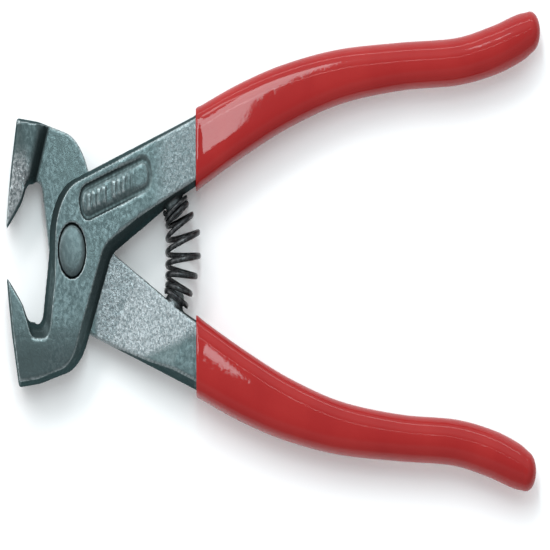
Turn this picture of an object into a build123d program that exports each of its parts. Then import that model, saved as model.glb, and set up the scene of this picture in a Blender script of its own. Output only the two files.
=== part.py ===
from build123d import *
import math
import os

# Hand nippers with two forged levers in a lap joint, lying flat. Millimetres, +Z up.
# The origin is on the pivot axis, on the flat underside of the rivet. +X runs to the
# handles, and the jaws point to -X. The levers are drawn open, as the spring holds them.
# Each lever is one forging. The front one is on top, and carries the upper handle and
# the lower jaw. The back one is the same forging, turned over about the X axis.

# Heights
rivet_proud = 0.4                    # how far a rivet head stands out of its cheek
cheek = 6.6                          # thickness of one lever in the lap joint
lap_gap = 0.15                       # running gap between the two lap faces
z_low = rivet_proud                  # outer face of the back lever's cheek
z_mid = z_low + cheek                # lap plane, and parting line of both forgings
z_top = z_mid + cheek                # outer face of the front lever's cheek
handle_half = 5.2                    # half the thickness of a bare handle
shoulder_height = 0.54               # where a side wall starts to round over, of its height
shoulder_inset = 0.33                # how much of its inset it has by then

# Rivet
shank_r = 4.0
bore_clearance = 0.04                # radial, in the front lever, which turns on the rivet
head_r = 5.0
head_seat_r = 5.35
head_seat_depth = 1.6
head_edge = 0.35

# Lap joint
lap_reach = 22.0                     # nothing of a lever crosses the lap plane nearer than this
ramp_run = 22.0                      # length of the ramp from the lap plane to full thickness
ramp_heading = 35.0                  # degrees from +X, the way the ramp falls
arm_taper_start = 18.0               # along X, where the cheek starts to thin to the handle
arm_end = 48.0                       # just inside the grip

# Lever outlines. Each row is a corner: x, y, its radius at the parting line, its radius
# at the outer face, and how far the wall that follows it leans in by the outer face.
# Corners run anticlockwise, and those of the front lever start at the jaw's tip.
lever_rows = [
    (-25.2, -5.2, 0.0, 0.0, 0.5),    # cutting tip
    (-23.3, -15.5, 20.0, 20.0, 0.5),
    (-20.7, -25.8, 0.8, 0.6, 0.9),   # outer front corner of the jaw
    (-12.5, -25.1, 15.0, 15.0, 1.0),
    (2.9, -22.1, 12.0, 10.5, 3.3),   # round back of the jaw
    (15.2, -0.3, 5.0, 7.0, 2.4),     # crotch
    (39.5, 10.1, 8.0, 8.0, 1.2),
    (arm_end, 13.0, 0.0, 0.0, 0.0),
    (arm_end, 26.5, 0.0, 0.0, 1.3),
    (-8.3, 11.8, 12.0, 11.5, 2.4),   # round shoulder of the cheek
    (-8.7, 0.8, 8.0, 6.0, 3.5),
    (-11.7, -13.5, 2.2, 3.0, 3.4),   # throat
    (-16.9, -13.5, 2.4, 2.4, 0.4),
    (-18.9, -9.9, 4.0, 4.0, 0.4),
]
# The half of the jaw block that lies below the lap plane of the front lever
jaw_rows = [
    (-25.2, -5.2, 0.0, 0.0, 0.5),
    (-23.3, -15.5, 20.0, 20.0, 0.5),
    (-20.7, -25.8, 0.8, 0.6, 0.9),
    (-13.2, -25.1, 8.0, 5.0, 0.9),
    (-8.9, -24.3, 0.0, 0.0, 2.3),    # shoulder that faces the other lever's cheek
    (-14.2, -13.1, 0.0, 0.0, 0.4),
    (-16.9, -13.1, 2.4, 0.3, 0.4),
    (-18.9, -9.9, 4.0, 4.0, 0.4),
]
# The half of the arm that lies below the lap plane of the front lever
arm_rows = [
    (17.0, 0.47, 0.0, 0.0, 1.0),
    (39.5, 10.1, 8.0, 8.0, 0.8),
    (arm_end, 13.0, 0.0, 0.0, 0.0),
    (arm_end, 26.5, 0.0, 0.0, 1.3),
    (9.0, 16.15, 0.0, 0.0, 0.0),
]

# Jaw faces
crown_start_y = -16.5                # the jaw's outer flank falls away from here
crown_drop = 1.3
crown_run = 9.0
nose_bevel_x = -16.4                 # the nose is ground off at its inner flank from here
nose_bevel_drop = 2.2
nose_bevel_run = 8.6
nose_bevel_heading = -20.0

# Sunk panel on the outer face of each cheek: a groove round a raised field, with plain
# bars standing on the field
panel_centre = (16.7, 11.9)
panel_heading = 14.0
panel_length = 28.0
panel_width = 6.8
panel_depth = 0.9
field_margin = 1.15                  # width of the groove round the field
field_rise = 0.5
bar_groups = (4, 6)                  # bars in each of the two groups
bar_pitch = 1.95
bar_width = 1.1
bar_height = 2.9
bar_rise = 0.35
bar_lean = 12.0
bar_group_gap = 2.0
bar_start = -10.4

# Spring posts, forged with the levers, each square to the inner edge of its arm
post_root = (38.9, 9.9)
post_heading = 23.3                  # degrees of that inner edge from +X
post_root_r = 3.5
post_tip_r = 2.75
post_length = 3.3
post_sunk = 2.4                      # how far the post's cone starts inside the arm
post_edge = 0.7

# Handles. Each row is a station of the front handle under its grip: x, y, heading in
# degrees, then the grip's width across the handle, its depth along Z, its corner radius.
handle_rows = [
    (40.0, 17.1, 19.6, 14.8, 12.8, 3.4),
    (52.0, 21.3, 18.8, 14.3, 12.7, 3.6),
    (66.0, 25.8, 16.6, 13.4, 12.3, 4.1),
    (82.0, 30.0, 12.6, 12.0, 11.3, 4.6),
    (102.0, 33.6, 7.4, 10.3, 10.2, 4.6),
    (125.0, 35.5, 2.8, 9.1, 9.4, 4.3),
    (146.0, 36.4, 5.0, 9.0, 9.3, 4.2),
    (160.0, 38.5, 12.0, 9.3, 9.4, 4.3),
    (169.5, 40.8, 15.0, 9.1, 9.2, 4.3),
    (173.9, 42.0, 15.5, 7.9, 8.0, 3.8),
]
grip_wall = 1.05
grip_mouth_x = 47.2
grip_end_r = 4.05
grip_end_back = 0.3                  # how far the end ball's centre sits before the last station
tang_stations = 8                    # the steel stops this many stations along
tang_overlap = 1.4                   # how far it runs into the arm

# Return spring: a barrel-shaped coil, close round each post and bent between them. Each
# row is a point of its axis: turns wound so far, x, y, the coil's mean radius there, and
# how far the coil leans, in degrees.
wire_r = 0.6
spring_rows = [
    (0.0, 39.31, 9.40, 4.35, 23.3),
    (1.0, 39.80, 8.27, 4.35, 23.3),
    (1.9, 40.26, 7.20, 4.45, 22.5),
    (2.6, 41.15, 5.50, 5.25, 18.0),
    (3.5, 42.20, 2.75, 6.25, 12.0),
    (4.5, 42.30, -0.80, 6.30, 3.0),
    (5.5, 41.70, -3.80, 5.75, -6.0),
    (6.5, 40.70, -6.50, 4.85, -15.0),
    (7.4, 39.85, -8.25, 4.30, -22.5),
    (8.0, 39.55, -8.92, 4.30, -23.3),
]
spring_points_per_turn = 10


def inset_corners(rows, part):
    """Corner points of an outline after each wall has leaned in by a part of its inset."""
    points = []
    count = len(rows)
    for i in range(count):
        walls = []
        for j in (i - 1, i):
            x0, y0 = rows[j][0], rows[j][1]
            x1, y1 = rows[(j + 1) % count][0], rows[(j + 1) % count][1]
            length = math.hypot(x1 - x0, y1 - y0)
            nx, ny = -(y1 - y0) / length, (x1 - x0) / length
            walls.append((nx, ny, nx * x0 + ny * y0 + rows[j][4] * part))
        (a, b, c), (d, e, f) = walls
        det = a * e - b * d
        points.append(((c * e - b * f) / det, (a * f - c * d) / det))
    return points


def outline_face(rows, part, z):
    """The outline at height z, with its walls leaned in by a part of their inset."""
    points = [(x, y, z) for x, y in inset_corners(rows, part)]
    radii = [row[2] + (row[3] - row[2]) * part for row in rows]
    return make_face(FilletPolyline(*points, radius=radii, close=True))


def forged_slab(rows, z_from, z_to):
    """A forging's half from its parting line to its outer face, with rounded-over walls."""
    z_shoulder = z_from + (z_to - z_from) * shoulder_height
    levels = [(0.0, z_from), (shoulder_inset, z_shoulder), (1.0, z_to)]
    return loft([outline_face(rows, part, z) for part, z in levels], ruled=True)


def above_plane(point, heading, slope, size=120.0):
    """A block whose flat underside passes through a point and rises along a heading."""
    base = Plane(origin=point) * Rot(0, 0, heading) * Rot(0, -slope, 0)
    return base * Pos(0, 0, size / 2) * Box(size * 2, size * 2, size)


def below_plane(point, heading, slope, size=120.0):
    """A block whose flat top passes through a point and rises along a heading."""
    base = Plane(origin=point) * Rot(0, 0, heading) * Rot(0, -slope, 0)
    return base * Pos(0, 0, -size / 2) * Box(size * 2, size * 2, size)


def panel_cut():
    """The sunk panel, less the field and the bars that stand in it."""
    place = Pos(panel_centre[0], panel_centre[1], z_top) * Rot(0, 0, panel_heading)
    floor = RectangleRounded(panel_length, panel_width, panel_width * 0.46)
    cut = place * Pos(0, 0, -panel_depth) * extrude(floor, panel_depth + 1.0)
    width = panel_width - 2 * field_margin
    field = RectangleRounded(panel_length - 2 * field_margin, width, width * 0.46)
    cut -= place * Pos(0, 0, -panel_depth) * extrude(field, field_rise)
    at = bar_start
    for group in bar_groups:
        for _ in range(group):
            bar = Rot(0, 0, -bar_lean) * Box(bar_width, bar_height, bar_rise * 2)
            cut -= place * Pos(at, 0, field_rise - panel_depth) * bar
            at += bar_pitch
        at += bar_group_gap
    return cut


def spring_post():
    """A short tapered post, square to the arm's inner edge."""
    axis = Plane(
        origin=(post_root[0], post_root[1], z_mid),
        x_dir=(0, 0, 1),
        z_dir=(math.sin(math.radians(post_heading)), -math.cos(math.radians(post_heading)), 0),
    )
    length = post_sunk + post_length
    cone = Cone(post_root_r + 0.3, post_tip_r, length, align=(Align.CENTER, Align.CENTER, Align.MIN))
    cone = fillet(cone.edges().sort_by(Axis.Z)[-1], post_edge)
    return axis * Pos(0, 0, -post_sunk) * cone


def handle_section(row, wall):
    """A section of the handle, a wall's thickness inside the grip's surface."""
    x, y, heading, width, depth, corner = row
    t = math.radians(heading)
    plane = Plane(
        origin=(x, y, z_mid),
        x_dir=(-math.sin(t), math.cos(t), 0),
        z_dir=(math.cos(t), math.sin(t), 0),
    )
    return plane * RectangleRounded(width - 2 * wall, depth - 2 * wall, corner - wall)


def tang():
    """The bare steel handle from inside the arm to near the grip's end."""
    rows = handle_rows[:tang_stations]
    bar = loft([handle_section(row, grip_wall) for row in rows])
    return bar & Pos(arm_end - tang_overlap + 100, 0, z_mid) * Box(200, 200, 40)


def front_lever():
    """Upper handle, front cheek and lower jaw, in one forging."""
    lap = z_mid + lap_gap / 2
    lever = forged_slab(lever_rows, lap, z_top)
    # The cheek thins to the handle along the arm.
    fall = math.degrees(math.atan2(z_top - z_mid - handle_half, arm_end - arm_taper_start))
    lever -= above_plane((arm_taper_start, 0, z_top), 0, -fall)
    # The jaw's outer flank is crowned.
    crown = math.degrees(math.atan2(crown_drop, crown_run))
    lever -= above_plane((0, crown_start_y, z_top), 90, crown)
    # Full thickness at the jaw, with the nose ground off at its inner flank.
    jaw = forged_slab(jaw_rows, lap, z_low)
    bevel = math.degrees(math.atan2(nose_bevel_drop, nose_bevel_run))
    jaw -= below_plane((nose_bevel_x, -16.0, z_low), nose_bevel_heading, -bevel)
    # Full thickness along the arm, reached by a ramp that starts clear of the joint.
    arm = forged_slab(arm_rows, lap, z_mid - handle_half)
    ramp = math.degrees(math.atan2(handle_half, ramp_run))
    t = math.radians(ramp_heading)
    arm -= below_plane((lap_reach * math.cos(t), lap_reach * math.sin(t), lap), ramp_heading, -ramp)
    arm -= Pos(0, 0, z_mid) * Cylinder(lap_reach, 4 * cheek)
    lever = lever + jaw + arm + tang() + spring_post()
    lever -= panel_cut()
    # Rivet hole and head seat.
    lever -= Pos(0, 0, z_mid) * Cylinder(shank_r + bore_clearance, 4 * cheek)
    lever -= Pos(0, 0, z_top - head_seat_depth + cheek) * Cylinder(head_seat_r, 2 * cheek)
    return lever


def turned_over(shape):
    """The same shape on the back lever: half a turn about X through the lap plane."""
    return Pos(0, 0, z_mid) * Rot(180, 0, 0) * Pos(0, 0, -z_mid) * shape


def pivot_rivet():
    """A shank with a low head at each end, its edge rounded by the die."""
    full = z_top - z_low + 2 * rivet_proud
    head_height = head_seat_depth + rivet_proud - 0.05
    rivet = Pos(0, 0, full / 2) * Cylinder(shank_r, full - 2)
    for low in (0.0, full - head_height):
        head = Pos(0, 0, low + head_height / 2) * Cylinder(head_r, head_height)
        edges = head.edges().filter_by(GeomType.CIRCLE).sort_by(Axis.Z)
        head = fillet(edges[0] if low == 0.0 else edges[-1], head_edge)
        rivet += head
    return rivet


def front_grip(lever):
    """Dipped sleeve over the upper handle, closed by a round end."""
    skin = loft([handle_section(row, 0.0) for row in handle_rows])
    x, y, heading = handle_rows[-1][:3]
    t = math.radians(heading)
    ball = Sphere(grip_end_r)
    skin += Pos(x - grip_end_back * math.cos(t), y - grip_end_back * math.sin(t), z_mid) * ball
    skin &= Pos(grip_mouth_x + 100, 0, z_mid) * Box(200, 200, 40)
    return skin - lever


def spring_row_at(turn):
    """The spring's row after a number of turns, on a smooth curve through the rows."""
    i = max(k for k in range(len(spring_rows) - 1) if spring_rows[k][0] <= turn)
    a, b = spring_rows[i], spring_rows[i + 1]
    t = (turn - a[0]) / (b[0] - a[0])
    values = []
    for k in range(1, 5):
        slopes = []
        for m in (i, i + 1):
            low, high = spring_rows[max(m - 1, 0)], spring_rows[min(m + 1, len(spring_rows) - 1)]
            slopes.append((high[k] - low[k]) / (high[0] - low[0]) * (b[0] - a[0]))
        values.append(
            (2 * t**3 - 3 * t**2 + 1) * a[k] + (t**3 - 2 * t**2 + t) * slopes[0]
            + (3 * t**2 - 2 * t**3) * b[k] + (t**3 - t**2) * slopes[1]
        )
    return values


def spring_line():
    """Centre line of the spring's wire."""
    turns = spring_rows[-1][0]
    count = int(turns * spring_points_per_turn)
    points = []
    for i in range(count + 1):
        turn = turns * i / count
        x, y, r, lean = spring_row_at(turn)
        t = math.radians(lean)
        out = r * math.cos(math.tau * turn + math.pi)
        up = r * math.sin(math.tau * turn + math.pi)
        points.append((x + out * math.cos(t), y + out * math.sin(t), z_mid + up))
    return Spline(points)


def return_spring():
    """Round wire along the spring line."""
    line = spring_line()
    start = Plane(origin=line @ 0, z_dir=line % 0)
    return sweep(start * Circle(wire_r), path=line, is_frenet=True)


def main():
    os.makedirs("parts", exist_ok=True)
    front = front_lever()
    grip = front_grip(front)
    nodes = {
        "front_lever": front,
        "back_lever": turned_over(front),
        "pivot_rivet": pivot_rivet(),
        "return_spring": return_spring(),
        "front_grip": grip,
        "back_grip": turned_over(grip),
    }
    for name, shape in nodes.items():
        export_step(shape, f"parts/{name}.step")
        print(name, len(shape.solids()), round(shape.volume, 1))


main()
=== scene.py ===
# %% [markdown]
# # Running pliers with a lap joint, dipped grips and a barrel spring
# The CAD model is the frame: it gives every size, and it moves. This script builds what is seen.
# It has two forged levers, a rivet, a coil spring and two vinyl grips, then a floor, lights and a camera.
# All lengths are in metres. The tool lies flat, +X runs to the handles, and the pivot is at the origin.

# %% Load the frame
import bpy
import bmesh
import math
from mathutils import Matrix, Vector, noise


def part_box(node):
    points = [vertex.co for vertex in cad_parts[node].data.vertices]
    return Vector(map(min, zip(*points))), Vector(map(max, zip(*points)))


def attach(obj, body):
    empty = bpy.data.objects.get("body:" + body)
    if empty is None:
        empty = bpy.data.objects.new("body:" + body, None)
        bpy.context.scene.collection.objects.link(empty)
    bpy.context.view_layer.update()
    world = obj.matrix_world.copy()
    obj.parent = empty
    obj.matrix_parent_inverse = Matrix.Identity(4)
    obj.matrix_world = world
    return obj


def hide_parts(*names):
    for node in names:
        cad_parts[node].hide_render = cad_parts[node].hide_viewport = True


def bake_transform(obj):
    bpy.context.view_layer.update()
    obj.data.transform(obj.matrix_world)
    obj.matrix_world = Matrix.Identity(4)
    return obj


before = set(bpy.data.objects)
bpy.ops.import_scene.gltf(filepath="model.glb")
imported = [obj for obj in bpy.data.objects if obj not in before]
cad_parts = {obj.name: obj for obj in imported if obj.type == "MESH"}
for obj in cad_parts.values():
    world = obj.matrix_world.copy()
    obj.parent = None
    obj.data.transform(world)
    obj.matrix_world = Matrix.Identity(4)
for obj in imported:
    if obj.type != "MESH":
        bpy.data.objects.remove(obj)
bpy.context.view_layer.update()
mm = 0.001
lap_z = sum(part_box("pivot_rivet")[i].z for i in (0, 1)) / 2
rivet_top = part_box("pivot_rivet")[1].z
print("lap plane at", round(lap_z / mm, 3), "mm, rivet top at", round(rivet_top / mm, 3), "mm")

# %% [markdown]
# ## Small helpers
# A finished piece sits at the origin with its place in its mesh, so it needs no turning later.
# smooth_step is the gentle 0-to-1 ramp that most of the masks below are made of.


# %% Helpers for pieces and ramps
def smooth_step(low, high, value):
    t = min(1.0, max(0.0, (value - low) / (high - low)))
    return t * t * (3 - 2 * t)


def piece_from(bm, name, body, material, smooth=True):
    """Turns a finished bmesh into a named piece that rides on a body."""
    mesh = bpy.data.meshes.new(name)
    bm.to_mesh(mesh)
    bm.free()
    piece = bpy.data.objects.new(name, mesh)
    bpy.context.scene.collection.objects.link(piece)
    for face in mesh.polygons:
        face.use_smooth = smooth
    mesh.materials.append(material)
    if body:
        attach(piece, body)
    return piece


def triangles(piece):
    """How many triangles a piece has once its modifiers have run."""
    seen = piece.evaluated_get(bpy.context.evaluated_depsgraph_get())
    return sum(len(face.vertices) - 2 for face in seen.data.polygons)


# %% [markdown]
# ## Building materials from nodes
# A material is a small graph. Writing each node as one call keeps the graph readable:
# a socket in the call makes a link, and a plain number or colour sets the input.


# %% Helpers for materials
def wire(tree, socket, value):
    if isinstance(value, bpy.types.NodeSocket):
        tree.links.new(value, socket)
    else:
        socket.default_value = value


def node(tree, kind, settings=None, **inputs):
    made = tree.nodes.new("ShaderNode" + kind)
    for key, value in (settings or {}).items():
        setattr(made, key, value)
    for name, value in inputs.items():
        wire(tree, made.inputs[int(name[1:]) if name[0] == "i" and name[1:].isdigit() else name], value)
    return made


def math_node(tree, operation, a, b=0.0, clamp=False):
    return node(tree, "Math", {"operation": operation, "use_clamp": clamp}, i0=a, i1=b).outputs[0]


def blend_colours(tree, share, first, second):
    made = node(tree, "Mix", {"data_type": "RGBA"})
    wire(tree, made.inputs[0], share)
    wire(tree, made.inputs[6], first)
    wire(tree, made.inputs[7], second)
    return made.outputs[2]


def grain(tree, place, scale, detail=3.0, roughness=0.5, distortion=0.0):
    """A noise in object space; scale is how many features fit in a metre."""
    return node(tree, "TexNoise", Vector=place, Scale=scale, Detail=detail,
                Roughness=roughness, Distortion=distortion).outputs[0]


def ramp(tree, value, low, high):
    return node(tree, "MapRange", {"interpolation_type": "SMOOTHSTEP"},
                i0=value, i1=low, i2=high, i3=0.0, i4=1.0).outputs[0]


def start_material(name):
    material = bpy.data.materials.new(name)
    material.use_nodes = True
    tree = material.node_tree
    shader = tree.nodes["Principled BSDF"]
    place = node(tree, "TexCoord").outputs["Object"]
    return material, tree, shader, place


def attribute(tree, name):
    return node(tree, "Attribute", {"attribute_name": name}).outputs["Fac"]


# %% [markdown]
# ## Forged steel
# The levers are drop-forged, tumbled and chemically blued to a faint teal grey. The skin is mottled at a
# millimetre or so, rubbed brighter along its raised edges, and bare where it was ground at the nose.
# The brightening of the raised edges is partly real rubbed wear and partly a painted highlight.
# The colour could be one value, but it would look like plastic: the mottling has to change colour,
# gloss and relief together. Four masks that are stored on the mesh say where each finish is: bare, rough,
# an edge mask (rubbed high corners, partly a painted highlight) and a shade mask (painted shade: steep
# walls, hollows and the jaw block's shoulder are darkened in the colour, and their gloss is dulled).

# %% Forged steel material
def forged_steel():
    material, tree, shader, place = start_material("forged_steel")
    broad = grain(tree, place, 90.0, 2.0)
    mottle = grain(tree, place, 900.0, 4.0, 0.6, 0.4)
    pores = grain(tree, place, 2400.0, 3.0, 0.6)
    grit = ramp(tree, grain(tree, place, 1500.0, 3.0, 0.6), 0.36, 0.66)
    bare, rough, edge, painted_shade = (attribute(tree, n) for n in ("bare", "rough", "edge", "painted_shade"))
    patches = ramp(tree, mottle, 0.36, 0.66)
    tone = blend_colours(tree, patches, (0.064, 0.090, 0.093, 1), (0.108, 0.143, 0.147, 1))
    tone = blend_colours(tree, ramp(tree, broad, 0.4, 0.75), tone, (0.078, 0.108, 0.110, 1))
    scale_tone = blend_colours(tree, grit, (0.120, 0.143, 0.149, 1), (0.260, 0.285, 0.294, 1))
    bare_tone = blend_colours(tree, grit, (0.105, 0.125, 0.129, 1), (0.330, 0.355, 0.363, 1))
    colour = blend_colours(tree, rough, tone, scale_tone)
    colour = blend_colours(tree, bare, colour, bare_tone)
    # Painted shade: steep walls, hollows and the jaw block's shoulder are darkened here, standing in for the
    # shade that falls on them.
    colour = blend_colours(tree, math_node(tree, "MULTIPLY", painted_shade, 0.72), colour, (0.046, 0.068, 0.069, 1))
    # Raised edges are lightened: partly real rubbed wear, partly a painted highlight.
    edge_share = math_node(tree, "MULTIPLY", edge, 0.8)
    rubbed_and_highlit = math_node(tree, "MULTIPLY", edge_share, ramp(tree, pores, 0.25, 0.6))
    colour = blend_colours(tree, rubbed_and_highlit, colour, (0.42, 0.48, 0.49, 1))
    wire(tree, shader.inputs["Base Color"], colour)
    gloss = math_node(tree, "ADD", math_node(tree, "MULTIPLY", patches, -0.10), 0.44)
    gloss = math_node(tree, "SUBTRACT", gloss, math_node(tree, "MULTIPLY", bare, 0.04))
    gloss = math_node(tree, "ADD", gloss, math_node(tree, "MULTIPLY", painted_shade, 0.2))
    wire(tree, shader.inputs["Roughness"], gloss)
    shader.inputs["Metallic"].default_value = 0.97
    shader.inputs["Specular Tint"].default_value = (0.30, 0.37, 0.38, 1)
    relief = math_node(tree, "ADD", mottle, math_node(tree, "MULTIPLY", pores, 0.5))
    worn = math_node(tree, "MAXIMUM", bare, rough)
    strength = math_node(tree, "ADD", math_node(tree, "MULTIPLY", worn, 1.1), 0.45)
    relief = math_node(tree, "MULTIPLY", relief, strength)
    bump = node(tree, "Bump", Height=relief, Strength=0.6, Distance=0.00016)
    wire(tree, shader.inputs["Normal"], bump.outputs[0])
    return material


forged = forged_steel()
print("material:", forged.name)

# %% [markdown]
# ## Rivet steel
# The rivet is turned wire, upset cold into its seat, and blued with the levers. Its skin is finer than
# theirs, with faint rings from the die, so it has its own weaker mottle and a ring pattern on top.


# %% Rivet steel material
def rivet_steel():
    material, tree, shader, place = start_material("rivet_steel")
    mottle = grain(tree, place, 900.0, 4.0, 0.6, 0.4)
    pores = grain(tree, place, 3200.0, 2.0)
    flat = node(tree, "VectorMath", {"operation": "MULTIPLY"}, i0=place, i1=(1, 1, 0)).outputs[0]
    rings = node(tree, "TexWave", {"wave_type": "RINGS", "rings_direction": "SPHERICAL"},
                 Vector=flat, Scale=420.0, Distortion=1.2, Detail=2.0).outputs["Fac"]
    patches = ramp(tree, mottle, 0.32, 0.7)
    colour = blend_colours(tree, patches, (0.064, 0.088, 0.091, 1), (0.099, 0.130, 0.134, 1))
    wire(tree, shader.inputs["Base Color"], colour)
    wire(tree, shader.inputs["Roughness"],
         math_node(tree, "ADD", math_node(tree, "MULTIPLY", pores, 0.16), 0.30))
    shader.inputs["Metallic"].default_value = 0.92
    relief = math_node(tree, "ADD", mottle, math_node(tree, "MULTIPLY", rings, 0.06))
    bump = node(tree, "Bump", Height=relief, Strength=0.3, Distance=0.0001)
    wire(tree, shader.inputs["Normal"], bump.outputs[0])
    return material


rivet_finish = rivet_steel()
print("material:", rivet_finish.name)

# %% [markdown]
# ## Spring wire
# Music wire, oil-tempered nearly black. Drawn wire shines in narrow streaks and has dull scale between
# them, so the gloss changes more than the colour does.


# %% Spring wire material
def spring_wire():
    material, tree, shader, place = start_material("spring_wire")
    scale_patches = grain(tree, place, 900.0, 3.0, 0.6)
    specks = grain(tree, place, 4200.0, 2.0)
    share = ramp(tree, scale_patches, 0.42, 0.7)
    colour = blend_colours(tree, share, (0.018, 0.020, 0.022, 1), (0.075, 0.078, 0.08, 1))
    wire(tree, shader.inputs["Base Color"], colour)
    wire(tree, shader.inputs["Roughness"],
         math_node(tree, "ADD", math_node(tree, "MULTIPLY", specks, 0.22), 0.2))
    shader.inputs["Metallic"].default_value = 0.7
    bump = node(tree, "Bump", Height=specks, Strength=0.2, Distance=0.00005)
    wire(tree, shader.inputs["Normal"], bump.outputs[0])
    return material


wire_finish = spring_wire()
print("material:", wire_finish.name)

# %% [markdown]
# ## Dipped vinyl
# The handles were dipped in liquid vinyl and cured, which leaves a thick red skin with a wet gloss, a
# faint orange peel, and a few tiny specks. A clear coat over a slightly rough base gives the sharp
# window-like highlight over a softer glow, which one gloss value alone can't.


# %% Dipped vinyl material
def dipped_vinyl():
    material, tree, shader, place = start_material("red_vinyl")
    cloud = grain(tree, place, 60.0, 3.0)
    peel = grain(tree, place, 420.0, 2.0, 0.4)
    specks = grain(tree, place, 2400.0, 2.0)
    colour = blend_colours(tree, ramp(tree, cloud, 0.35, 0.7), (0.295, 0.010, 0.010, 1), (0.325, 0.014, 0.013, 1))
    colour = blend_colours(tree, ramp(tree, specks, 0.68, 0.8), colour, (0.24, 0.010, 0.011, 1))
    wire(tree, shader.inputs["Base Color"], colour)
    wire(tree, shader.inputs["Roughness"],
         math_node(tree, "ADD", math_node(tree, "MULTIPLY", specks, 0.12), 0.44))
    shader.inputs["Specular IOR Level"].default_value = 0.06
    shader.inputs["Coat Weight"].default_value = 0.5
    shader.inputs["Coat Roughness"].default_value = 0.045
    shader.inputs["IOR"].default_value = 1.5
    bump = node(tree, "Bump", Height=math_node(tree, "ADD", peel, math_node(tree, "MULTIPLY", specks, 0.08)),
                Strength=0.22, Distance=0.00012)
    wire(tree, shader.inputs["Normal"], bump.outputs[0])
    wire(tree, shader.inputs["Coat Normal"], bump.outputs[0])
    return material


vinyl = dipped_vinyl()
print("material:", vinyl.name)

# %% [markdown]
# ## The two levers
# Each lever is one drop forging. Its CAD solid has the right shape but knife-sharp corners, and no
# forging has those. They could be bevelled edge by edge, but where rounded walls, ramps and cones meet,
# a bevel tears. Remeshing a copy into small cells and smoothing it rounds every corner at once, as the
# tumbling drum does, and leaves enough points to press the hammered skin into.
# Both levers are the same forging, one turned over, so the masks are worked out in the front lever's
# own frame, where the outer side is up.


# %% How worn, rough and bare the steel is at a point of the forging
def forging_point(point, turned_over):
    """A point in the front lever's frame, in millimetres, with z counted from the lap plane."""
    x, y, z = point.x / mm, point.y / mm, (point.z - lap_z) / mm
    return (x, -y, -z) if turned_over else (x, y, z)


def bare_share(x, y, z):
    """Ground nose of the jaw's inner side, and the working tips."""
    nose = smooth_step(-14.5, -18.0, x) * smooth_step(-21.0, -16.5, y)
    tip = 0.75 * smooth_step(-15.5, -9.0, y) * smooth_step(-17.0, -20.0, x)
    return max(nose, tip) * smooth_step(0.0, -2.0, z)


def rough_share(x, y, z):
    """Scaly skin left by the die on the ramp of the arm, and near the grip."""
    above_line = y - 20.5 + 0.21 * (x - 25.0)
    ramp_side = smooth_step(0.6, 0.3, z) * smooth_step(8.0, 10.0, x) * smooth_step(1.2, -1.2, above_line)
    shoulder = 0.6 * smooth_step(30.0, 38.0, x) * smooth_step(0.5, 2.0, z)
    return max(ramp_side, shoulder)


def painted_jaw_shade(x, y, z):
    """Painted shade on the jaw block's shoulder: the colour there is darkened as if in shade."""
    return 0.62 * smooth_step(-7.5, -9.5, x) * smooth_step(-15.0, -19.0, y) * smooth_step(-1.0, -2.5, z)


def crown_drop(x, y, z):
    """How far the crease at the root of the jaw's crowned flank sinks to become a round, in mm."""
    half, slope, down = 4.0, 0.144, -16.5 - y
    if abs(down) > half or z < 4.5 or x > 14:
        return 0.0
    return slope * (down + half) ** 2 / (4 * half) - max(0.0, slope * down)


def soft_share(x, y, z):
    """Where the die leaves a full round instead of an edge: the jaw block's shoulder and nose."""
    beyond = smooth_step(-0.6, -1.2, z) * smooth_step(-7.0, -8.0, x)
    return beyond * smooth_step(-12.0, -12.6, y) * smooth_step(-24.4, -23.8, y)


print("the nose is bare to", round(bare_share(-22.0, -12.0, -5.0), 2))
print("the ramp is rough to", round(rough_share(24.0, 8.0, -3.0), 2))

# %% Build a lever from its CAD solid
cell = 0.34 * mm


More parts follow.
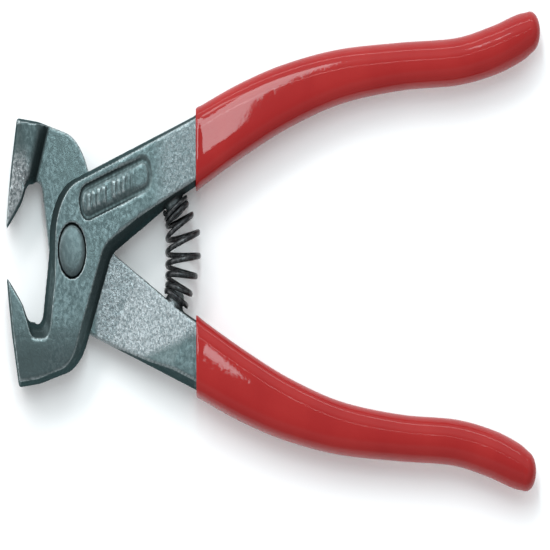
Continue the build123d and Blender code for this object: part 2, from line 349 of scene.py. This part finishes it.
def forged_lever(cad_name, name, turned_over, seed):
    bm = bmesh.new()
    bm.from_mesh(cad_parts[cad_name].data)
    bmesh.ops.remove_doubles(bm, verts=bm.verts, dist=0.002 * mm)
    lever = piece_from(bm, name, None, forged)
    remesh = lever.modifiers.new("even cells", "REMESH")
    remesh.mode, remesh.voxel_size, remesh.use_smooth_shade = "VOXEL", cell, True
    seen = lever.evaluated_get(bpy.context.evaluated_depsgraph_get())
    bm = bmesh.new()
    bm.from_mesh(seen.data)
    lever.modifiers.clear()
    for v in bm.verts:
        # The even cells blunt the knife-thin jaw tip, so it is drawn out again.
        x, y, z = forging_point(v.co, turned_over)
        v.co.y += 0.65 * smooth_step(-11.0, -5.8, y) * smooth_step(-17.0, -21.0, x) * (-mm if turned_over else mm)
    for _ in range(2):
        bmesh.ops.smooth_vert(bm, verts=bm.verts, factor=0.5, use_axis_x=True, use_axis_y=True, use_axis_z=True)
    melt = {v for v in bm.verts if soft_share(*forging_point(v.co, turned_over)) > 0.5}
    for _ in range(50):
        bmesh.ops.smooth_vert(bm, verts=list(melt), factor=0.5, use_axis_x=True, use_axis_y=True, use_axis_z=True)
    bm.normal_update()
    layers = {key: bm.verts.layers.float.new(key) for key in ("bare", "rough", "edge", "painted_shade")}
    shift = Vector((seed, 2 * seed, -seed))
    moves = []
    for v in bm.verts:
        x, y, z = forging_point(v.co, turned_over)
        bare, rough = bare_share(x, y, z), rough_share(x, y, z)
        around = Vector((0, 0, 0))
        for e in v.link_edges:
            around += e.other_vert(v).co
        bulge = (v.co - around / max(1, len(v.link_edges))).dot(v.normal) / cell
        v[layers["bare"]], v[layers["rough"]] = bare, rough
        # The edge mask lightens raised edges: partly real rubbed wear, partly a painted highlight.
        v[layers["edge"]] = smooth_step(0.03, 0.12, bulge)
        # Painted shade: steep walls and hollows are marked here to be darkened in the colour, where shade falls
        # on them.
        wall, painted_hollow_shade = smooth_step(0.80, 0.45, abs(v.normal.z)), smooth_step(0.03, 0.12, -bulge)
        v[layers["painted_shade"]] = max(wall, painted_hollow_shade, painted_jaw_shade(x, y, z))
        near_joint = smooth_step(0.25, 0.8, abs(z)) if math.hypot(x, y) < 30 or x < 0 else 1.0
        in_hole = smooth_step(5.3, 6.2, math.hypot(x, y))
        hammered = noise.fractal(v.co / (1.3 * mm) + shift, 1.0, 2.0, 3)
        dents = noise.noise(v.co / (4.5 * mm) - shift)
        depth = (0.018 + 0.05 * max(bare, rough)) * (0.5 + 0.5 * hammered) + 0.03 * (0.5 + 0.5 * dents)
        sink = Vector((0, 0, crown_drop(x, y, z) * (-mm if turned_over else mm)))
        moves.append((v, v.normal * (depth * near_joint * in_hole * mm) + sink))
    for v, move in moves:
        v.co -= move
    bm.to_mesh(lever.data)
    bm.free()
    for face in lever.data.polygons:
        face.use_smooth = True
    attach(lever, "back" if turned_over else "front")
    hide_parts(cad_name)
    return lever


front_lever = forged_lever("front_lever", "front_lever_forging", False, 3.0)
back_lever = forged_lever("back_lever", "back_lever_forging", True, 11.0)
print("levers:", triangles(front_lever), "and", triangles(back_lever), "triangles")

# %% [markdown]
# ## The rivet
# A rivet is a round bar whose ends were pressed out into low heads. A lathe-like spin of its half
# outline makes it in one go: a soft crown on each head, a rolled rim, and the shank between them.

# %% Spin the rivet
head_r, shank_r, head_height = 5.14 * mm, 3.95 * mm, 1.9 * mm
half_outline = [
    (0.0, 0.0), (2.0, 0.03), (3.4, 0.09), (4.2, 0.18), (4.7, 0.34), (4.98, 0.6), (5.1, 0.95), (5.14, 1.9),
]
bm = bmesh.new()
lower = [bm.verts.new((r * mm, 0, z * mm)) for r, z in half_outline]
shank = [bm.verts.new((shank_r, 0, z)) for z in (head_height, lap_z, rivet_top - head_height)]
upper = [bm.verts.new((r * mm, 0, rivet_top - z * mm)) for r, z in reversed(half_outline)]
chain = lower + shank + upper
edges = [bm.edges.new(pair) for pair in zip(chain, chain[1:])]
bmesh.ops.spin(bm, geom=chain + edges, cent=(0, 0, 0), axis=(0, 0, 1), dvec=(0, 0, 0),
               angle=math.tau, steps=96, use_merge=True, use_duplicate=False)
bmesh.ops.remove_doubles(bm, verts=bm.verts, dist=0.001 * mm)
bmesh.ops.recalc_face_normals(bm, faces=bm.faces)
rivet = piece_from(bm, "pivot_rivet_upset", "back", rivet_finish)
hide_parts("pivot_rivet")
print("rivet:", triangles(rivet), "triangles,", round(2 * head_r / mm, 2), "mm across its head")

# %% [markdown]
# ## The dipped grips
# A grip is a sleeve of even thickness that follows the handle: nearly rectangular and wide at the mouth,
# round at the end. It could be a tube along a curve, but a curve's tube keeps one section. Here one
# ring is extruded from station to station, and each new ring is moved to its place and given its own
# width, depth and corner. A Solidify modifier then gives the sleeve its wall, and a subdivision melts
# the rings together. A dipped sleeve has a thickened bead at its mouth, where the vinyl drew back.

# %% Stations of the handle, in millimetres: x, y, heading in degrees, width, depth, squareness
handle_stations = [
    (40.0, 17.1, 19.6, 14.8, 12.8, 0.80),
    (52.0, 21.3, 18.8, 14.3, 12.7, 0.74),
    (66.0, 25.8, 16.6, 13.4, 12.3, 0.62),
    (82.0, 30.0, 12.6, 12.0, 11.3, 0.45),
    (102.0, 33.6, 7.4, 10.3, 10.2, 0.26),
    (125.0, 35.5, 2.8, 9.1, 9.4, 0.12),
    (146.0, 36.4, 5.0, 9.0, 9.3, 0.08),
    (160.0, 38.5, 12.0, 9.3, 9.4, 0.06),
    (169.5, 40.8, 15.0, 9.1, 9.2, 0.0),
    (173.9, 42.0, 15.5, 7.9, 8.0, 0.0),
]


def handle_at(s):
    """The handle's station at s, from 0 to 9, on a smooth curve through the rows."""
    i = min(int(s), len(handle_stations) - 2)
    t = s - i
    rows = [handle_stations[min(max(k, 0), len(handle_stations) - 1)] for k in (i - 1, i, i + 1, i + 2)]
    out = []
    for p0, p1, p2, p3 in zip(*rows):
        out.append(0.5 * (2 * p1 + (p2 - p0) * t + (2 * p0 - 5 * p1 + 4 * p2 - p3) * t * t
                          + (3 * p1 - p0 - 3 * p2 + p3) * t * t * t))
    return out


print("the handle is", [round(v, 2) for v in handle_at(2.5)[:2]], "mm from the pivot at station 2.5")

# %% Extrude a grip ring by ring
around = 40
mouth_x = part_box("front_grip")[0].x / mm
mouth_at = min((k / 1000 for k in range(400, 900)), key=lambda s: abs(handle_at(s)[0] - mouth_x))
print("the mouth is at station", mouth_at)


def place_ring(verts, s, grow=0.0, cap=0.0):
    """Moves one ring of vertices to station s. cap, from 0 to 1, closes it into the round end."""
    x, y, heading, width, depth, square = handle_at(s)
    t = math.radians(heading)
    shrink, push = math.sqrt(max(0.0, 1 - cap * cap)), cap * width / 2
    for k, v in enumerate(verts):
        a = math.tau * k / len(verts)
        c, d = math.cos(a), math.sin(a)
        power = 2.0 + 2.6 * square
        reach = (abs(c) ** power + abs(d) ** power) ** (-1 / power)
        across = c * reach * (width / 2 + grow) * shrink
        up = d * reach * (depth / 2 + grow) * shrink
        at = Vector((x - across * math.sin(t), y + across * math.cos(t), up)) + push * Vector((math.cos(t), math.sin(t), 0))
        # The mouth was cut square to the tool, and the rings turn square to the handle from there.
        at += (x - at.x) / math.cos(t) * (1 - smooth_step(0.6, 2.2, s)) * Vector((math.cos(t), math.sin(t), 0))
        v.co = (at.x * mm, at.y * mm, lap_z + at.z * mm)


def dipped_grip(cad_name, name, turned_over):
    bm = bmesh.new()
    ring = bmesh.ops.create_circle(bm, cap_ends=False, radius=mm, segments=around)["verts"]
    place_ring(ring, mouth_at, 0.0)
    edges = [bm.edges.get((a, b)) for a, b in zip(ring, ring[1:] + ring[:1])]
    bead = ((0.012, 0.08), (0.035, 0.13), (0.07, 0.13), (0.11, 0.08), (0.17, 0.02), (0.24, 0.0))
    rings = [(mouth_at + step, grow, 0.0) for step, grow in bead]
    s = rings[-1][0] + 0.08
    while s < 8.97:
        rings.append((s, 0.0, 0.0))
        s += 0.08
    rings += [(9.0, 0.0, math.sin(math.radians(a))) for a in (4, 14, 25, 36, 47, 58, 68, 77)]
    for s, grow, cap in rings:
        made = bmesh.ops.extrude_edge_only(bm, edges=edges)["geom"]
        fresh = {v for v in made if isinstance(v, bmesh.types.BMVert)}
        edges = [e for e in made if isinstance(e, bmesh.types.BMEdge)]
        ring = [next(e.other_vert(v) for e in v.link_edges if e.other_vert(v) in fresh) for v in ring]
        place_ring(ring, s, grow, cap)
    pole = bmesh.ops.extrude_edge_only(bm, edges=edges)["geom"]
    tip = [v for v in pole if isinstance(v, bmesh.types.BMVert)]
    place_ring(tip, 9.0, 0.0, 1.0)
    bmesh.ops.remove_doubles(bm, verts=tip, dist=0.01 * mm)
    if turned_over:
        bmesh.ops.rotate(bm, verts=bm.verts, cent=(0, 0, lap_z), matrix=Matrix.Rotation(math.pi, 3, "X"))
    bmesh.ops.recalc_face_normals(bm, faces=bm.faces)
    grip = piece_from(bm, name, "back" if turned_over else "front", vinyl)
    wall = grip.modifiers.new("wall", "SOLIDIFY")
    wall.thickness, wall.offset = 1.05 * mm, -1.0
    soft = grip.modifiers.new("melt", "SUBSURF")
    soft.levels = soft.render_levels = 1
    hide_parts(cad_name)
    return grip


front_grip = dipped_grip("front_grip", "front_grip_sleeve", False)
back_grip = dipped_grip("back_grip", "back_grip_sleeve", True)
print("grips:", triangles(front_grip), "and", triangles(back_grip), "triangles")

# %% [markdown]
# ## The return spring
# A barrel spring: close turns seat on a post at each end, and the open turns swell between them. Its
# axis is bent, because both posts point along the same arc round the pivot. The wire is one curve with
# a round bevel, turned into a mesh.

# %% Wind the spring. Rows are turns wound, x and y of the coil's axis, its radius, and its lean in degrees
wire_r = 0.6
spring_rows = [
    (0.0, 39.31, 9.40, 4.35, 23.3), (1.0, 39.80, 8.27, 4.35, 23.3), (1.9, 40.26, 7.20, 4.45, 22.5),
    (2.6, 41.15, 5.50, 5.25, 18.0), (3.5, 42.20, 2.75, 6.25, 12.0), (4.5, 42.30, -0.80, 6.30, 3.0),
    (5.5, 41.70, -3.80, 5.75, -6.0), (6.5, 40.70, -6.50, 4.85, -15.0), (7.4, 39.85, -8.25, 4.30, -22.5),
    (8.0, 39.55, -8.92, 4.30, -23.3),
]
turns = spring_rows[-1][0]


def spring_point(turn):
    """A point of the wire's centre line after a number of turns, on a smooth curve through the rows."""
    i = max(k for k in range(len(spring_rows) - 1) if spring_rows[k][0] <= turn)
    near = [spring_rows[min(max(k, 0), len(spring_rows) - 1)] for k in (i - 1, i, i + 1, i + 2)]
    span = near[2][0] - near[1][0]
    t = (turn - near[1][0]) / span
    values = []
    for k in range(1, 5):
        start, end = ((b[k] - a[k]) / (b[0] - a[0]) * span for a, b in ((near[0], near[2]), (near[1], near[3])))
        values.append((2 * t**3 - 3 * t**2 + 1) * near[1][k] + (t**3 - 2 * t**2 + t) * start
                      + (3 * t**2 - 2 * t**3) * near[2][k] + (t**3 - t**2) * end)
    x, y, r, lean = values
    a = math.tau * turn + math.pi
    out = r * math.cos(a)
    return (x + out * math.cos(math.radians(lean)), y + out * math.sin(math.radians(lean)), lap_z / mm + r * math.sin(a))


line = bpy.data.curves.new("spring_line", "CURVE")
line.dimensions, line.bevel_depth, line.bevel_resolution, line.use_fill_caps = "3D", wire_r * mm, 4, True
count = int(turns * 30)
path = line.splines.new("NURBS")
path.points.add(count)
for i in range(count + 1):
    x, y, z = spring_point(turns * i / count)
    path.points[i].co = (x * mm, y * mm, z * mm, 1)
path.order_u, path.use_endpoint_u, path.resolution_u = 4, True, 2
wound = bpy.data.objects.new("spring_line", line)
bpy.context.scene.collection.objects.link(wound)
spring_mesh = bpy.data.meshes.new_from_object(wound.evaluated_get(bpy.context.evaluated_depsgraph_get()))
bpy.data.objects.remove(wound)
bm = bmesh.new()
bm.from_mesh(spring_mesh)
bmesh.ops.remove_doubles(bm, verts=bm.verts, dist=0.01 * mm)
bmesh.ops.recalc_face_normals(bm, faces=bm.faces)
spring = piece_from(bm, "return_spring_wire", None, wire_finish)
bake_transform(spring)
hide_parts("return_spring")
print("spring:", triangles(spring), "triangles")

# %% [markdown]
# ## Floor, light and camera
# The tool lies on a plain white sheet in a pale light tent. Dark polished steel shows its surroundings, so
# an even tent with a dimmer opening overhead gives calm flats that a few strong lamps can't. Five soft
# boxes shape it: three throw the shadows and light the edges, crown_strip draws the thin line along the
# grips, and grip_box the broad pale patch at the mouth of the upper one.

# %% Floor
bm = bmesh.new()
bmesh.ops.create_grid(bm, x_segments=1, y_segments=1, size=6.0)
bmesh.ops.translate(bm, verts=bm.verts, vec=(0, 0, -0.0002))
floor_finish, tree, shader, place = start_material("floor_white")
wire(tree, shader.inputs["Base Color"],
     blend_colours(tree, grain(tree, place, 8.0, 2.0), (0.90, 0.90, 0.90, 1), (0.93, 0.93, 0.93, 1)))
shader.inputs["Roughness"].default_value = 0.9
shader.inputs["Specular IOR Level"].default_value = 0.1
shader.inputs["Emission Color"].default_value = (1, 1, 1, 1)
shader.inputs["Emission Strength"].default_value = 0.06
floor = piece_from(bm, "floor", None, floor_finish)
print("floor laid")


# %% Lights
def soft_box(name, place, aim, size, power, tint=(1, 1, 1)):
    lamp = bpy.data.lights.new(name, "AREA")
    lamp.shape, lamp.size, lamp.size_y, lamp.energy, lamp.color = "RECTANGLE", size[0], size[1], power, tint
    made = bpy.data.objects.new(name, lamp)
    bpy.context.scene.collection.objects.link(made)
    made.location = place
    made.rotation_euler = (Vector(aim) - Vector(place)).to_track_quat("-Z", "Y").to_euler()
    made.visible_camera = False
    return made


soft_box("key_strip", (-0.75, 1.0, 1.5), (0.05, 0, 0), (1.4, 0.3), 9.0)
soft_box("left_box", (-1.4, 0.35, 0.55), (0.05, 0, 0), (1.2, 0.3), 5.0)
soft_box("back_strip", (0.2, 1.5, 0.62), (0.08, 0, 0), (1.4, 0.12), 3.0)
soft_box("crown_strip", (0.1, 0.45, 1.6), (0.1, 0, 0), (1.2, 0.02), 0.8)
soft_box("grip_box", (0.043, 0.28, 0.62), (0.043, 0.28, 0), (0.105, 0.50), 1.7, (0.82, 0.97, 1.0))
print("five soft boxes")

# %% A pale tent with a dimmer opening overhead
world = bpy.data.worlds.new("studio")
bpy.context.scene.world = world
world.use_nodes = True
sky = world.node_tree
looking = node(sky, "TexCoord").outputs["Generated"]
to_light = Vector((-0.31, 0.53, 0.79)).normalized()
facing = node(sky, "VectorMath", {"operation": "DOT_PRODUCT"}, i0=looking, i1=to_light).outputs["Value"]
side = math_node(sky, "MULTIPLY", math_node(sky, "ADD", facing, 0.3), 1 / 1.3, True)
tent = blend_colours(sky, math_node(sky, "POWER", side, 1.5), (0.50, 0.51, 0.52, 1), (1.25, 1.275, 1.30, 1))
height = node(sky, "SeparateXYZ", i0=looking).outputs["Z"]
glow = blend_colours(sky, ramp(sky, height, 0.80, 0.965), tent, (0.44, 0.45, 0.46, 1))
wire(sky, sky.nodes["Background"].inputs[0], glow)
bpy.context.scene.view_settings.view_transform = "Standard"
print("tent lit from", [round(v, 2) for v in to_light])

# %% [markdown]
# ## The camera
# The view is from almost straight above, a few degrees towards -Y, from far away. The picture is drawn
# twice as tall as it is wide, so the camera hangs on a sheared rig: its upward axis leans back, and
# a metre across the tool fills twice the height. The model itself keeps its true proportions.
# A long lens keeps the shear even. It can't be longer than about 1730 mm, because the other views place the
# camera by its lens and stop seeing at a hundred times the tool's radius, which would leave them empty.

# %% Camera on a sheared rig
stretch, tilt = 2.0, math.radians(4.6)
frame_width = 0.2099
camera_data = bpy.data.cameras.new("camera")
camera_data.lens, camera_data.sensor_width, camera_data.clip_end = 1600, 36, 200
camera = bpy.data.objects.new("camera", camera_data)
bpy.context.scene.collection.objects.link(camera)
distance = frame_width / 36 * camera_data.lens
lean_back = math.acos(1 / stretch)
shear = Matrix(((1, 0, 0, 0), (0, math.cos(lean_back), 0, 0), (0, -math.sin(lean_back), 1, 0), (0, 0, 0, 1)))
rig = bpy.data.objects.new("camera_rig", None)
bpy.context.scene.collection.objects.link(rig)
camera.parent = rig
camera.matrix_parent_inverse = (
    Matrix.Translation((0.0774, -0.0047, rivet_top)) @ Matrix.Rotation(tilt, 4, "X")
    @ Matrix.Translation((0, 0, distance)) @ shear
)
bpy.context.scene.camera = camera
bpy.context.view_layer.update()
print("camera", round(distance, 2), "m away")
